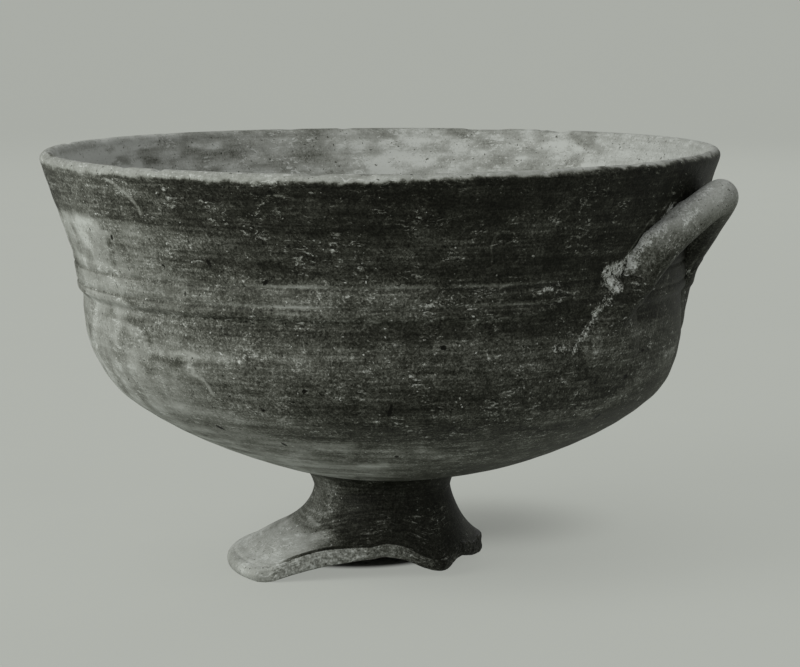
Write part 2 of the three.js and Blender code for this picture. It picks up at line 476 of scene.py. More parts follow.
def thrown_shape(radius, height, angle, along, outer):
    """Points of the turned form, moved as the potter's hand and later wear have left them."""
    drop = rim_height - height
    place = turned(radius, angle, height)
    side = np.where(outer, 1, -1) * step(0, 12, radius)
    grooves = sum(bell(drop, groove, groove_width) for groove in groove_drops)
    throwing = np.sin(along * 2 * math.pi / throwing_pitch + angle + 2 * noise(place, 40, 41))
    outward = np.where(outer, -groove_depth * grooves, 0)
    outward += np.where(outer, ridge_outside, ridge_inside) * throwing * side
    outward += unevenness * fractal(place, 34, 43) * np.abs(side)
    on_lip = step(5, 1, drop)
    chips = small_chip * step(0.35, 0.75, noise(place, 4.5, 47))
    chips += large_chip * step(0.5, 0.9, noise(place, 11, 49))
    height = height - on_lip * (chips + rim_sag * (1 - np.cos(2 * angle - rim_sag_turn)) / 2)
    radius = radius + np.where(outer, outward, -outward) * (1 - 0.8 * on_lip)
    on_shoulder = bell(height, shoulder_height, shoulder_spread) * step(40, 70, radius)
    radius = radius - shoulder_slimming * on_shoulder
    radius = np.minimum(radius, rim_radius)
    toward_right = np.cos(angle - camera_azimuth) * radius / tilt_radius
    height = height + (underside_lift - underside_tilt * toward_right) * step(86, 45, radius)
    to_right = turned(1, camera_azimuth, 0)
    return turned(radius, angle, height) + axis_place + leaning(height)[..., None] * to_right


# Wear of the bowl, as lines of azimuth and drop with half their width, and for lime its strength

bowl_scale = 1.58  # millimetres per degree
worn_azimuth = -135
dark_remnants = (
    (((-120.5, 17.8), (-117, 18), (-116.5, 21.8), (-115.5, 26)), 1.5),
    (((-119.7, 22.4), (-119.9, 25.1), (-120.8, 28.8)), 1.1),
    (((-119, 38.3), (-110.5, 39.6)), 0.8),
    (((-118.4, 44.2), (-114.5, 45.4), (-113, 48.4)), 1.5),
    (((-112.5, 54), (-105.5, 54.3)), 1.3),
)
pale_lines = (
    (((-114.8, 3.7), (-112.8, 5.2), (-110.9, 7), (-109.4, 9), (-108.5, 11), (-108.2, 12.8)), 0.46),
    (((-103.5, 54.2), (-102.8, 56.4), (-103.2, 57.2), (-101.2, 58.6), (-100.6, 60.4), (-100.3, 62.9)), 0.42),
    (((-104.2, 50.7), (-101.5, 52)), 0.40),
    (((-97, 15), (-95.4, 17), (-94.8, 19.5)), 0.15),
    (((-93.2, 10.4), (-92.8, 11)), 0.30),
    (((-46.8, 16.6), (-47.6, 18.8), (-47.9, 21.5), (-47.5, 24.8)), 0.05),
    (((-19, 26.9), (-16.8, 20.5), (-13.8, 15.4)), 0.05),
    (((-2.4, 33), (-3.6, 41), (-6.8, 51)), 0.05),
)
pale_smears = (
    (((-83, 78.4), (-77, 81.2)), 0.9),
    (((-60.5, 79.4), (-50, 83.8)), 1.1),
    (((-75.5, 86.8), (-68, 86)), 0.7),
    (((-108, 51.8), (-94.5, 52.2)), 0.5),
    (((-35, 71.5), (-18, 68.5), (-9, 61), (5, 58.5), (24, 57)), 1.6),
)
dark_gouges = (
    (((-105.6, 73.2), (-103.8, 74.7)), 0.50),
    (((-92.1, 77.9), (-90.9, 79)), 0.50),
    (((-65.3, 63.6), (-66.4, 67.2)), 0.50),
    (((-91, 65.8), (-90, 66.8)), 0.45),
    (((-96.1, 24.6), (-95.6, 26.6)), 0.50),
)
lime_lines = (
    (((-9, 13.5), (-12, 19), (-15.8, 23.4), (-19.5, 28.4), (-22.5, 32.6)), 0.9, 0.75),
    (((-20.2, 29.4), (-23.2, 30.4), (-22, 33.6)), 2.0, 0.75),
    (((-23.9, 37.4), (-25.6, 41), (-27.2, 45.5), (-30.2, 51.5)), 1.1, 0.56),
    (((-34, 50.2), (-31.5, 50.8)), 0.8, 0.38),
    (((-36.9, 33.7), (-35.6, 33.5)), 0.2, 1.0),
)

# Zones of wear, one below the other: drop at the start, tone of sound slip and of the worn side, degrees from
# the middle of that side at which wear ends and is whole, extra wear there, and blur of the start elsewhere
wear_zones = (
    (-9, 0.07, 0.43, 58, 8, 0.12, 0),
    (15.6, 0.12, 0.64, 60, 20, 0.28, 0),
    (29.8, 0.21, 0.80, 108, 10, 0.07, 2.2),
    (39.8, 0.23, 0.66, 70, 15, 0.22, 0),
    (46.5, 0.44, 0.72, 74, 15, 0.16, 0),
    (57, 0.38, 0.78, 60, 18, 0.15, 0),
    (68, 0.38, 0.84, 70, 20, 0.12, 0),
    (75.5, 0.52, 0.90, 95, 20, 0.08, 0),
)
zone_softness = 1.3


def segment_distance(first, second, start, end, scale):
    """Distance in millimetres to a straight mark, and the share of the way along it."""
    begin = np.array([start[0] * scale, start[1]])
    run = np.array([end[0] * scale, end[1]]) - begin
    offset = np.stack([first * scale, second], -1) - begin
    share = np.clip(offset @ run / (run @ run), 0, 1)
    return np.linalg.norm(offset - share[..., None] * run, axis=-1), share


def line_distance(first, second, corners, width, scale=bowl_scale):
    """Distance in millimetres to the edge of a line of corners."""
    pairs = zip(corners, corners[1:])
    return np.min([segment_distance(first, second, *pair, scale)[0] for pair in pairs], axis=0) - width


def gouge_distance(first, second, ends, width, scale=bowl_scale):
    """Distance in millimetres to the edge of a short mark that tapers off to both ends."""
    away, share = segment_distance(first, second, *ends, scale)
    return away - width * (1 - (2 * share - 1) ** 2)


def nearest(marks, distance, azimuth, drop):
    """Least distance to any of the marks, each given by its points and half its width."""
    best = np.full(azimuth.shape, far_off)
    for points, width in marks:
        best = np.minimum(best, distance(azimuth, drop, points, width))
    return best


def scattered_gouges(count, longest, width, seed):
    """Short marks strewn over the outside, mostly along the wheel's turning."""
    chance = np.random.default_rng(seed)
    gouges = []
    for azimuth, drop, reach, tilt in chance.random((count, 4)):
        middle = np.array([360 * azimuth - 180, 6 + 82 * drop])
        run = longest * (0.3 + 0.7 * reach) / 2
        turn = 1.4 * (2 * tilt - 1) ** 3
        offset = np.array([run * math.cos(turn) / bowl_scale, run * math.sin(turn)])
        gouges.append(((middle - offset, middle + offset), width * (0.6 + 0.8 * reach)))
    return tuple(gouges)


def wandering(azimuth, drop, place, reach, seed):
    """The same places moved about, so that marks get ragged edges."""
    along, down = (
        reach * (noise(place, 4.5, seed + n) + 0.5 * noise(place, 1.8, seed + n + 1)) for n in (0, 2))
    return azimuth + along / bowl_scale, drop + down


def drawn_round(angle, along):
    """Places pulled together round the axis, so that noise on them is drawn out that way."""
    return turned(12, angle, along)


def zone_tone(away, bare_side, drop):
    """Tone of the zones of wear, at degrees from the middle of the worn side."""
    blurred = step(40, 60, away)
    tone = 0
    for top, dark, pale, end, start, extra, blur in wear_zones:
        value = mixed(step(end, start, away), dark, pale) + extra * bare_side
        soft = zone_softness + blur * blurred
        tone = mixed(step(top - soft, top + soft, drop), tone, value)
    return tone


def groove_highlight_and_shade(azimuth, drop, place, away):
    """Painted highlight along the ridge edge above each groove, on the sound side, and painted shade inside
    each groove.
    """
    # painted highlight above each groove, painted shade just below its middle
    painted_ridge_highlight = step(35, 60, away) * step(-22, -42, azimuth) * step(-0.5, 0.3, fractal(place, 14, 13))
    return sum(
        0.44 * painted_ridge_highlight * bell(drop, groove - 0.5, 0.5) - 0.20 * bell(drop, groove + 0.3, 0.35)
        for groove in groove_drops)


def outside_tone(azimuth, drop, place, turning):
    """Tone of the outside, from 0 for sound dark slip to 1 for bare clay, with painted shade on the wall
    between the handle's arms and painted highlight and shade along the grooves.
    """
    away = np.abs(wrapped(azimuth - worn_azimuth))
    away = away + 8 * fractal(place, 20, 3) + 4 * fractal(place, 5, 4)
    bare_side = step(31, 10, away)
    tone = zone_tone(away, bare_side, drop + noise(place, 8, 9))
    tone += 0.24 * step(75, 130, away) * step(0, 0.5, fractal(place, 42, 5))
    tone += 0.14 * fractal(place, 26, 7) + 0.14 * fractal(place, 6, 8)
    tone += (0.10 + 0.14 * step(72, 80, drop)) * fractal(turning, 2.6, 12)
    tone -= 0.14 * bare_side * step(0, 0.5, fractal(place, 7, 19, 4))
    thin_slip = bell(azimuth, -64, 9) * bell(drop, 21.5, 4.5)
    # painted shade on the wall under the loop, between the arms of the handle
    painted_shade_between_arms = bell(azimuth, 8, 14) * bell(drop, 31, 8)
    tone += 0.16 * thin_slip - 0.25 * painted_shade_between_arms
    # painted highlight and painted shade along the grooves
    tone += groove_highlight_and_shade(azimuth, drop, place, away)
    rubbed_side = step(-25, -85, azimuth) + step(150, 178, azimuth)
    bare_edge = 0.6 + 1.8 * rubbed_side + 0.5 * noise(place, 5, 11) + 0.55 * noise(place, 1.4, 18)
    tone = mixed(step(bare_edge + 1.3, bare_edge - 0.5, drop), tone, 1)
    where = wandering(azimuth, drop, place, 0.9, 15)
    smear = step(2.2, -0.8, nearest(pale_smears, line_distance, *where))
    tone += 0.22 * smear * (0.8 + 0.6 * noise(place, 3, 16))
    remnant = step(0.8, -0.8, nearest(dark_remnants, line_distance, *where))
    tone = mixed(0.6 * remnant, tone, 0.52 + 0.15 * noise(place, 2.5, 17))
    return np.clip(tone, 0.02, 1.03)


def outside_lime(azimuth, drop, place):
    """Strength of the lime on the outside, from 0 to 1."""
    where = wandering(azimuth, drop, place, 0.8, 21)
    return np.max([
        strength * step(1.6, -1, line_distance(*where, corners, width))
        for corners, width, strength in lime_lines], axis=0)


def inside_tone(azimuth, drop, place):
    """Tone of the inside: bare clay, cleaner by the handle, clouded and stained across from it, and made
    paler with painted light round 192 degrees, where it lies in shade.
    """
    near_handle = step(70, 61, azimuth + 7 * fractal(place, 12, 31, 4)) * step(-40, -10, azimuth)
    clean = near_handle * step(48, 14, drop + 12 * fractal(place, 16, 32))
    flattened = place * np.array([0.5, 0.5, 1.2])
    blotch = step(0, 0.55, fractal(flattened, 6, 33)) * (0.5 + 0.5 * step(50, 20, drop))
    cloud = 0.15 * fractal(place, 22, 35, 4) + 0.20 * fractal(flattened, 3, 37)
    across = step(95, 150, np.abs(wrapped(azimuth - 40)))
    pale_patch = bell(azimuth, 113, 6)
    # painted light: the inside round 192 degrees lies in shade, so it is made paler and less stained
    painted_light_end = bell(wrapped(azimuth - 192), 0, 14)
    stain = blotch * (0.13 + 0.25 * across) * (1 - 0.7 * painted_light_end)
    tone = 0.93 + 0.09 * across - stain + cloud + 0.08 * pale_patch + 0.12 * painted_light_end
    return np.clip(mixed(clean, tone, 1), 0.3, 1.06)


def make_bowl():
    line, outer, along = bowl_outline()
    angle = np.ones((len(line), 1)) * column_angles()
    radius = line[:, :1] + 0 * angle
    height = line[:, 1:] + 0 * angle
    outer, along = outer[:, None], along[:, None]
    azimuth = wrapped(np.degrees(angle))
    drop = rim_height - height
    flat = turned(radius, angle, height)
    tone = np.where(
        outer, outside_tone(azimuth, drop, flat, drawn_round(angle, along)), inside_tone(azimuth, drop, flat))
    lip_dirt = 0.03 + 0.06 * step(-40, -90, azimuth) + 0.05 * fractal(flat, 3, 51, 2)
    where = wandering(azimuth, drop, flat, 0.35, 23)
    scratches = np.minimum(
        nearest(pale_lines, line_distance, *where),
        nearest(scattered_gouges(30, 5, 0.14, 1), gouge_distance, *where))
    nicks = nearest(dark_gouges + scattered_gouges(40, 2.5, 0.4, 2), gouge_distance, *where)
    layers = surface_layers(
        tone - lip_dirt * step(4, 1.5, drop), along * MM,
        lime=np.where(outer, outside_lime(azimuth, drop, flat), 0),
        scratch=np.where(outer, scratches, far_off),
        nick=np.where(outer, nicks, far_off))
    return skin("thrown_bowl", thrown_shape(radius, height, angle, along, outer), layers)


# Foot

base_radius = foot_radius - foot_edge_round / 2
hollow_radius = base_radius - base_width
foot_edge = foot_radius - foot_edge_round
lobe_azimuth = -156
foot_scratch = ((-128, 24.6), (-113, 25.6))
foot_scratch_width = 0.35
foot_scale = 0.42  # millimetres per degree


def underside_at(radius):
    return cap_centre - np.sqrt(underside_radius ** 2 - radius ** 2) + underside_lift


neck_top = underside_at(stem_radius) - joint_gap
bore_top = underside_at(bore_radius) - joint_gap


def pulled_in(radius, height, pull, slope):
    return radius - pull * math.cos(slope), height + pull * math.sin(slope)


# Outside from the neck out to the edge, then edge and flat base ring, then hollow from the ring to the bore
neck = neck_top - neck_drop
flare_line = np.vstack([[(stem_radius, neck_top)], bezier((
    (stem_radius, neck), (stem_radius, neck - flare_neck_pull),
    pulled_in(foot_edge, edge_height, flare_rim_pull, ring_slope), (foot_edge, edge_height)), 200)])
edge_turn = np.linspace(math.pi / 2, -math.pi / 2, 17)
edge_radius = mixed(np.cos(edge_turn), np.where(edge_turn > 0, foot_edge, base_radius), foot_radius)
rim_line = np.vstack([
    np.stack([edge_radius, (1 + np.sin(edge_turn)) * edge_height / 2], -1),
    np.linspace((base_radius, 0), (hollow_radius, 0), 11)[1:-1]])
hollow_line = bezier((
    (hollow_radius, 0), pulled_in(hollow_radius, 0, hollow_rim_pull, hollow_slope),
    (bore_radius, bore_top - hollow_neck_pull), (bore_radius, bore_top)), 200)


def sagging(radius, azimuth, amount):
    """How far the slumped foot lies below its turned form."""
    share = np.clip((radius - stem_radius) / (foot_radius - stem_radius), 0, 1)
    side = np.cos(np.radians(azimuth - slump_azimuth))
    return amount * np.sin(math.pi * share) * np.where(side < 0, uphill_slump, 1) * side


def drooping(radius, azimuth, start, full):
    """Share of the droop of the broken front, which grows away from the stem."""
    return step(start, full, azimuth) * step(45, 10, azimuth) * step(stem_radius, droop_radius, radius)


def broken_radius(azimuth):
    """Distance from the axis to the broken edge, or beyond the foot where it is whole."""
    result = np.full(azimuth.shape, 2 * foot_radius)
    direction = turned(1, np.radians(azimuth), 0)[:, :2]
    distances, turns = np.array(break_corners).T
    corners = turned(distances, np.radians(turns), 0)[:, :2]
    for start, end, low, high in zip(corners, corners[1:], turns, turns[1:]):
        run = end - start
        normal = np.array([run[1], -run[0]])
        inside = (azimuth >= low) & (azimuth < high)
        result = np.where(inside, start @ normal / (direction @ normal), result)
    return result


def foot_limit(angle, reach=20, spread=7.5):
    """Distance from the axis to which the foot is kept, with the break softened and roughened."""
    limit = np.minimum(broken_radius(np.degrees(angle)), foot_radius + 3)
    limit = np.convolve(np.pad(limit, reach, "wrap"), smoothing(reach, spread), "valid")
    rough = break_wander * fractal(turned(30, angle, 0), 8, 61, 4)
    return limit + rough * step(foot_radius + 1, foot_radius - 2, limit)


def whole_edge(degrees, end):
    """Rounded edge and base ring, drawn together where less of the foot is kept."""
    edge = rim_line * np.array([1, 1 - rim_fall / edge_height])
    sag = sagging(edge[:, 0], degrees, slump) * edge[:, 1] / edge_height
    kept_end = min(end, foot_radius)
    kept_share = max((kept_end - hollow_radius) / (foot_radius - hollow_radius), 0.05)
    return np.stack([kept_end - (foot_radius - edge[:, 0]) * kept_share, np.maximum(edge[:, 1] - sag, 0)], -1)


def broken_face(end, top, bottom):
    fall = np.linspace(0, 1, len(rim_line) + 2)[1:-1]
    return np.stack([end - worn_edge * (2 * fall - 1) ** 4, mixed(fall, top, bottom)], -1)


def foot_section(degrees, end):
    """Outside, edge or break, hollow and top of the neck at an azimuth."""
    shares = np.linspace(0, 1, len(flare_line))
    last = np.interp(min(foot_edge, end - worn_edge), flare_line[:, 0], shares)
    outer = stretch(flare_line, 0, last, outer_rows)
    shares = np.linspace(0, 1, len(hollow_line))
    first = np.interp(-min(hollow_radius, end - worn_edge), -hollow_line[:, 0], shares)
    inner = stretch(hollow_line, first, 1, inner_rows)
    outer[:, 1] -= sagging(outer[:, 0], degrees, slump) + rim_fall * step(33, foot_edge, outer[:, 0])
    outer[:, 1] -= outer_droop * drooping(outer[:, 0], degrees, -108, -62)
    inner[:, 1] -= sagging(inner[:, 0], degrees, hollow_slump)
    inner[:, 1] -= hollow_droop * drooping(inner[:, 0], degrees, -125, -85)
    outer[:, 1] = np.maximum(outer[:, 1], flare_clearance)
    inner[:, 1] = np.maximum(inner[:, 1], 0)
    face = broken_face(end, outer[-1, 1], inner[0, 1])
    edge = mixed(step(-1, 3, foot_edge - end), whole_edge(degrees, end), face)
    neck = np.linspace((bore_radius, bore_top), (stem_radius, neck_top), 6)[1:-1]
    return np.vstack([outer, edge, inner, neck])


def foot_tone(azimuth, radius, place):
    """Tone of the foot, from 0 for sound dark slip to 1 for bare clay."""
    away = np.abs(wrapped(azimuth - lobe_azimuth))
    ring = step(25.5, 29.5, radius + 2.2 * fractal(place, 8, 71, 2))
    lobe = 0.16 + 0.78 * step(70, 46, away + 8 * fractal(place, 8, 73, 2))
    stem = 0.09 + 0.57 * step(80, 34, away + 8 * noise(place, 6, 74))
    unseen = 0.35 * step(110, 150, away) * step(0, 0.5, noise(place, 15, 75))
    cloud = 0.10 * fractal(place, 12, 76) + 0.08 * fractal(place, 4, 77, 2)
    return mixed(ring, stem, lobe) + unseen + cloud


def fracture_tone(azimuth, place):
    """Tone of the break, darker towards the handle in three stretches: the first two are painted shade, and
    the last darkens the facet that faces the handle.
    """
    stretches = ((0.22, -98, -64), (0.20, -60, -42), (0.40, -38, -30))
    darker = sum(fall * step(start, end, azimuth) for fall, start, end in stretches)
    return 0.88 - darker + 0.10 * fractal(place, 4, 70)


def make_foot():
    angle = round_turn(foot_columns, -math.pi)
    limit = foot_limit(angle)
    section = np.stack([foot_section(*pair) for pair in zip(np.degrees(angle), limit)], 1)[::-1]
    radius, height = section[..., 0], section[..., 1]
    azimuth = np.degrees(angle) + 0 * radius
    row = np.arange(len(section))[::-1, None]
    on_outside = row < outer_rows
    on_hollow = row >= outer_rows + len(rim_line)
    broken = step(0.3, 1.5, foot_edge - limit) * ~(on_outside | on_hollow)
    flat = turned(radius, angle, height)
    bite = break_bite * fractal(flat, 3.2, 63) + break_grit * noise(flat, 1.1, 65)
    lump = np.where(on_outside, foot_lumps * fractal(flat, 18, 67), 0)
    height = height + lump * step(0.5, 4, height)
    radius = radius + broken * bite + lump * step(16, 22, height)
    places = turned(radius, angle, np.maximum(height, 0)) + axis_place
    crease = (row >= outer_rows - 3) & (row <= outer_rows)
    tone = foot_tone(azimuth, radius, flat) - 0.5 * crease * step(1.5, 4.5, foot_edge - limit)
    tone = np.where(on_hollow, 0.7 + 0.2 * fractal(flat, 9, 69), tone)
    tone = mixed(broken, tone, fracture_tone(azimuth, flat))
    scratch = line_distance(azimuth, radius, foot_scratch, foot_scratch_width, foot_scale)
    layers = surface_layers(
        np.clip(tone, 0.03, 1.03), lengths_along(section[::-1, 0])[::-1, None] * MM,
        scratch=np.where(on_outside, scratch, far_off), fracture=broken)
    return skin("thrown_foot", places, layers, loop=True)


# Slip clay round the neck of the foot

def make_foot_luting():
    inner, side, out = bore_radius + 0.3, stem_radius - 0.3, stem_radius + fillet_reach
    bottom = neck_top - fillet_drop
    fillet = bezier((
        (stem_radius + 0.02, bottom), (stem_radius + 0.5, neck_top - 0.6),
        (stem_radius + 1.4, underside_at(out) - 0.7), (out, underside_at(out) + 0.1)), 18)
    across = np.linspace(out, inner, 10)[1:]
    top = np.stack([across, underside_at(across) + 0.2], -1)
    inside = [(inner, underside_at(inner) - joint_gap + 0.2), (side, neck_top + 0.1), (side, bottom)]
    section = np.vstack([fillet, top, inside])
    angle = round_turn(fillet_columns, -math.pi)
    radius, height = (column[:, None] + 0 * angle for column in section.T)
    flat = turned(radius, angle, height)
    row = np.arange(len(section))[:, None]
    on_fillet = (row > 0) & (row < len(fillet) - 1)
    radius = radius + np.where(on_fillet, 0.25 * fractal(flat, 9, 81), 0)
    places = turned(radius, angle, height) + axis_place
    away = np.abs(wrapped(np.degrees(angle) - lobe_azimuth))
    tone = 0.10 + 0.56 * step(86, 36, away) + 0.12 * fractal(flat, 7, 83)
    return skin("foot_joint", places, surface_layers(tone, lengths_along(section)[:, None] * MM), loop=True)


# Handle

def by_the_wall(sideways, drop, out):
    """Place sideways from the middle of the handle, at a drop and out of the wall."""
    height = rim_height - drop
    radius = wall_at(height) + out
    return np.array([math.sqrt(radius ** 2 - sideways ** 2), sideways, height])


def smooth_route(corners, count):
    """Smooth line through the corners, with evenly spaced points."""
    gaps = np.linalg.norm(np.diff(corners, axis=0), axis=1)[:, None] ** 0.5
    slopes = np.diff(corners, axis=0) / gaps
    inner = (slopes[:-1] * gaps[1:] + slopes[1:] * gaps[:-1]) / (gaps[:-1] + gaps[1:])
    tangents = np.concatenate([slopes[:1], inner, slopes[-1:]])
    after, before = corners[:-1] + tangents[:-1] * gaps / 3, corners[1:] - tangents[1:] * gaps / 3
    pieces = [bezier(points, 40)[:-1] for points in zip(corners, after, before, corners[1:])]
    line = np.vstack(pieces + [corners[-1:]])
    return resampled(line, np.linspace(0, lengths_along(line)[-1], count))


route = smooth_route(np.array([by_the_wall(*corner) for corner in handle_route]), route_points)


def arm_tone(drop, painted_light_facing, place):
    """Tone of an arm: rubbed at the top of the loop, darker towards the root, with painted light on the side
    that faces up and painted shade underneath.
    """
    return 0.84 - 0.44 * step(14, 31, drop) + 0.24 * painted_light_facing + 0.12 * fractal(place, 9, 99)


def coil_facing(turn):
    """Directions out of the middle of the coil, round each point of the route."""
    tangent = unit(np.gradient(route, axis=0))
    across = unit(np.cross(tangent, unit(route * np.array([1, 1, 0]))))
    lift = np.cross(across, tangent)
    return lift[:, None] * np.cos(turn)[:, None] + across[:, None] * np.sin(turn)[:, None]


def crust_height(place, drop, to_crease):
    """How far lime stands out of the front arm, in flakes and in the crease by the wall."""
    front = step(8, -6, place[..., 1]) * step(10, 15, drop) * step(40, 32, drop)
    crust = front * step(0.15, 0.6, to_crease + 0.40 * fractal(place, 6, 93))
    flakes = np.maximum(0.35 + 0.8 * fractal(place, 2.6, 97), 0)
    filling = crust_filling * step(0.30, 0.90, to_crease) * step(15, 24, drop)
    return crust * (flakes + filling) * step(34, 27, drop)


def handle_lime(place, drop, to_crease):
    """Strength of the lime on the handle, from 0 to 1."""
    limed = step(14, 2, place[..., 1]) * step(6, 10, drop) * step(40, 32, drop)
    ridge = step(0.30, 0.75, to_crease + 0.35 * fractal(place, 5, 93))
    patches = step(0.10, 0.40, fractal(place, 6, 103)) * step(-0.25, 0.2, to_crease) * step(26, 18, drop)
    strength = np.maximum(ridge, 0.8 * patches) * (0.92 + 0.6 * fractal(place, 4, 101))
    return np.clip(limed * strength, 0, 1)


def make_handle():
    turn = round_turn(coil_columns)
    facing = coil_facing(turn)
    base = route[:, None] + coil_radius * facing
    drop = rim_height - base[..., 2]
    to_crease = facing @ crease_direction
    radius = coil_radius - coil_shrinkage + coil_swell * fractal(base, 13, 91)
    radius = radius + crust_height(base, drop, to_crease)
    places = route[:, None] + radius[..., None] * facing
    reach = np.linalg.norm(places[..., :2], axis=-1)
    kept = np.maximum(reach, wall_at(places[..., 2]) - root_depth)
    places[..., :2] *= (kept / reach)[..., None]
    places[..., 0] = np.minimum(places[..., 0] + axis_x, cad_box[1][0] / MM)
    # the tone carries painted light on the upper side of the coil and painted shade underneath
    layers = surface_layers(
        np.clip(arm_tone(drop, facing[..., 2], base), 0.1, 1), coil_radius * np.abs(turn - math.pi) * MM,
        lime=handle_lime(base, drop, to_crease))
    return skin("coil_handle", places, layers)


# Wads of clay over the roots of the handle

def smooth_max(first, second, spread):
    share = np.clip(0.5 + 0.5 * (first - second) / spread, 0, 1)
    return mixed(share, second, first) + spread * share * (1 - share)


def coil_above(place, normal):
    """How far the coil reaches out of the wall over each place, or just inwards where it misses it."""
    offset = route - place[:, :, None]
    rise = np.einsum("abkc,abc->abk", offset, normal)
    near = coil_radius ** 2 - (np.sum(offset ** 2, -1) - rise ** 2)
    return np.max(np.where(near > 0, rise + np.sqrt(np.maximum(near, 0)), -4), axis=-1)


def wad_grid(share, side, half_length, half_breadth, trailing, seed):
    """Angles and drops round one end of the coil, at shares of the way to the outline."""
    sideways, drop_middle, _ = handle_route[0 if side < 0 else -1]
    wall = wall_at(rim_height - drop_middle)
    turn = round_turn(wad_spokes)
    outline = share * (1 + 0.05 * np.sin(2 * turn + seed) + 0.04 * np.sin(5 * turn + 2 * seed))
    breadth = half_breadth + trailing * step(0, 0.8, np.cos(turn)) * step(-0.8, 0.2, np.sin(turn))
    across = outline * breadth * np.cos(turn)
    down = outline * half_length * np.sin(turn)
    tilt = wad_lean * side
    spread = across * math.cos(tilt) + down * math.sin(tilt)
    fall = down * math.cos(tilt) - across * math.sin(tilt)
    return math.asin(sideways / wall) + spread / wall, drop_middle + fall


def make_wad(name, height, side, seed, **outline):
    """Clay smeared over one end of the coil, thinning out onto the wall round it."""
    share = np.linspace(0, 1, wad_rings)[:, None]
    angle, drop = wad_grid(share, side, seed=seed, **outline)
    azimuth = np.degrees(angle)
    level = rim_height - drop
    normal = turned(1, angle, 0)
    on_wall = turned(wall_at(level), angle, level)
    over_coil = coil_above(on_wall, normal)
    hidden = step(32, 26, drop + 1.2 * noise(on_wall, 4, seed + 7))
    smear = height * (1 - share ** 2) ** 0.9 - 0.8 * share ** 4
    smear = smear + 0.3 * fractal(on_wall, 6, seed) * (1 - share ** 4)
    covered = smooth_max(smear, over_coil + 0.15 - 0.9 * hidden, 4)
    covered = np.where(share > 0.97, np.minimum(covered, -0.5), covered)
    top = on_wall + normal * covered[..., None]
    under = on_wall - normal * (1.6 * (1 - share ** 2) + 0.6)[..., None]
    places = np.concatenate([top, under[::-1]]) + axis_place
    wall_tone = outside_tone(azimuth, drop, on_wall, drawn_round(angle, drop)) + 0.04
    on_arm = step(-1.5, 1, over_coil - smear) * step(36, 27, drop)
    tone = mixed(on_arm, wall_tone, arm_tone(drop, 0, on_wall))
    lime = outside_lime(azimuth, drop, on_wall)
    layers = surface_layers(
        np.concatenate([tone, tone[::-1]]), np.concatenate([level, level[::-1]]) * MM,
        lime=np.concatenate([lime, 0 * lime]))
    return skin(name, places, layers)


# Materials

def fill(node, inputs):
    """Links inputs of a node to sockets, or sets them to values."""
    for key, value in inputs.items():
        if isinstance(value, bpy.types.NodeSocket):
            node.id_data.links.new(value, node.inputs[key])
        else:
            node.inputs[key].default_value = value


def add(tree, kind, inputs, **settings):
    node = tree.nodes.new(kind)
    for key, value in settings.items():
        setattr(node, key, value)
    fill(node, inputs)
    return node


def maths(operation, *values):
    tree = next(value.id_data for value in values if isinstance(value, bpy.types.NodeSocket))
    return add(tree, "ShaderNodeMath", dict(enumerate(values)), operation=operation).outputs[0]


def times(first, second):
    return maths("MULTIPLY", first, second)


def plus(base, socket, weight):
    return maths("MULTIPLY_ADD", socket, weight, base)


def towards(share, first, second):
    return plus(first, maths("SUBTRACT", second, first), share)


def summed(start, terms):
    """Start plus each socket, taken about its middle of one half, times its weight."""
    for socket, weight in terms:
        start = maths("ADD", start, plus(-weight / 2, socket, weight))
    return start


def texture(place, scale, detail, rough=0.55, swirl=0.0):
    inputs = {"Vector": place, "Scale": scale, "Detail": detail, "Roughness": rough, "Distortion": swirl}
    return add(place.id_data, "ShaderNodeTexNoise", inputs).outputs["Fac"]


def between(value, low, high, first=0.0, second=1.0):
    """Smooth change from the first value at low to the second at high."""
    inputs = {"Value": value, "From Min": low, "From Max": high, "To Min": first, "To Max": second}
    return add(value.id_data, "ShaderNodeMapRange", inputs, interpolation_type="SMOOTHSTEP").outputs["Result"]


def layer(tree, name):
    return add(tree, "ShaderNodeAttribute", {}, attribute_name=name).outputs["Fac"]


def object_place(tree):
    return add(tree, "ShaderNodeTexCoord", {}).outputs["Object"]


def grey(level):
    """A grey with the slight green of the photograph."""
    return (red_share * level, level, blue_share * level, 1)


def new_material(name):
    material = bpy.data.materials.new(name)
    material.use_nodes = True
    return material, material.node_tree, material.node_tree.nodes["Principled BSDF"]


def clay_patterns(tree):
    """Textures of the clay, some of them drawn out along the turning of the wheel."""
    place = object_place(tree)
    x, y, _ = add(tree, "ShaderNodeSeparateXYZ", {0: place}).outputs

    def drawn_out(share):
        pulled = {0: times(x, share), 1: times(y, share), 2: layer(tree, "along")}
        return add(tree, "ShaderNodeCombineXYZ", pulled).outputs[0]

    long_drawn = drawn_out(0.06)
    return SimpleNamespace(
        mottle=texture(place, 300, 4, 0.6, 0.6),
        grain=texture(place, 1100, 3, 0.65, 0.8),
        dust=texture(place, 2000, 2, 0.6, 0.8),
        streak=texture(long_drawn, 1000, 4, 0.6),
        broad_streak=texture(long_drawn, 250, 3, 0.6),
        clusters=texture(place, 110, 4, 0.65, 0.5),
        flakes=texture(drawn_out(0.45), 700, 4, 0.75, 1.2),
        specks=texture(place, 1000, 2, 0.5),
        crumbs=texture(place, 900, 5, 0.7))


def patterned_tone(pattern, worn, lively):
    """The tone layer with the fine pattern of slip and clay, flecks, specks and pits."""
    change = summed(0.0, (
        (pattern.mottle, 0.65), (pattern.grain, 1.15), (pattern.dust, 1.10),
        (pattern.streak, 0.70), (pattern.broad_streak, 0.50)))
    tone = plus(worn, change, lively)
    flecks = times(between(pattern.clusters, 0.45, 0.61), between(pattern.flakes, 0.54, 0.61))
    tone = plus(tone, flecks, between(worn, 0.20, 0.65, 0.62, 0.22))
    tone = plus(tone, between(pattern.specks, 0.71, 0.76), 0.60)
    return plus(tone, between(pattern.specks, 0.33, 0.26), -0.45)


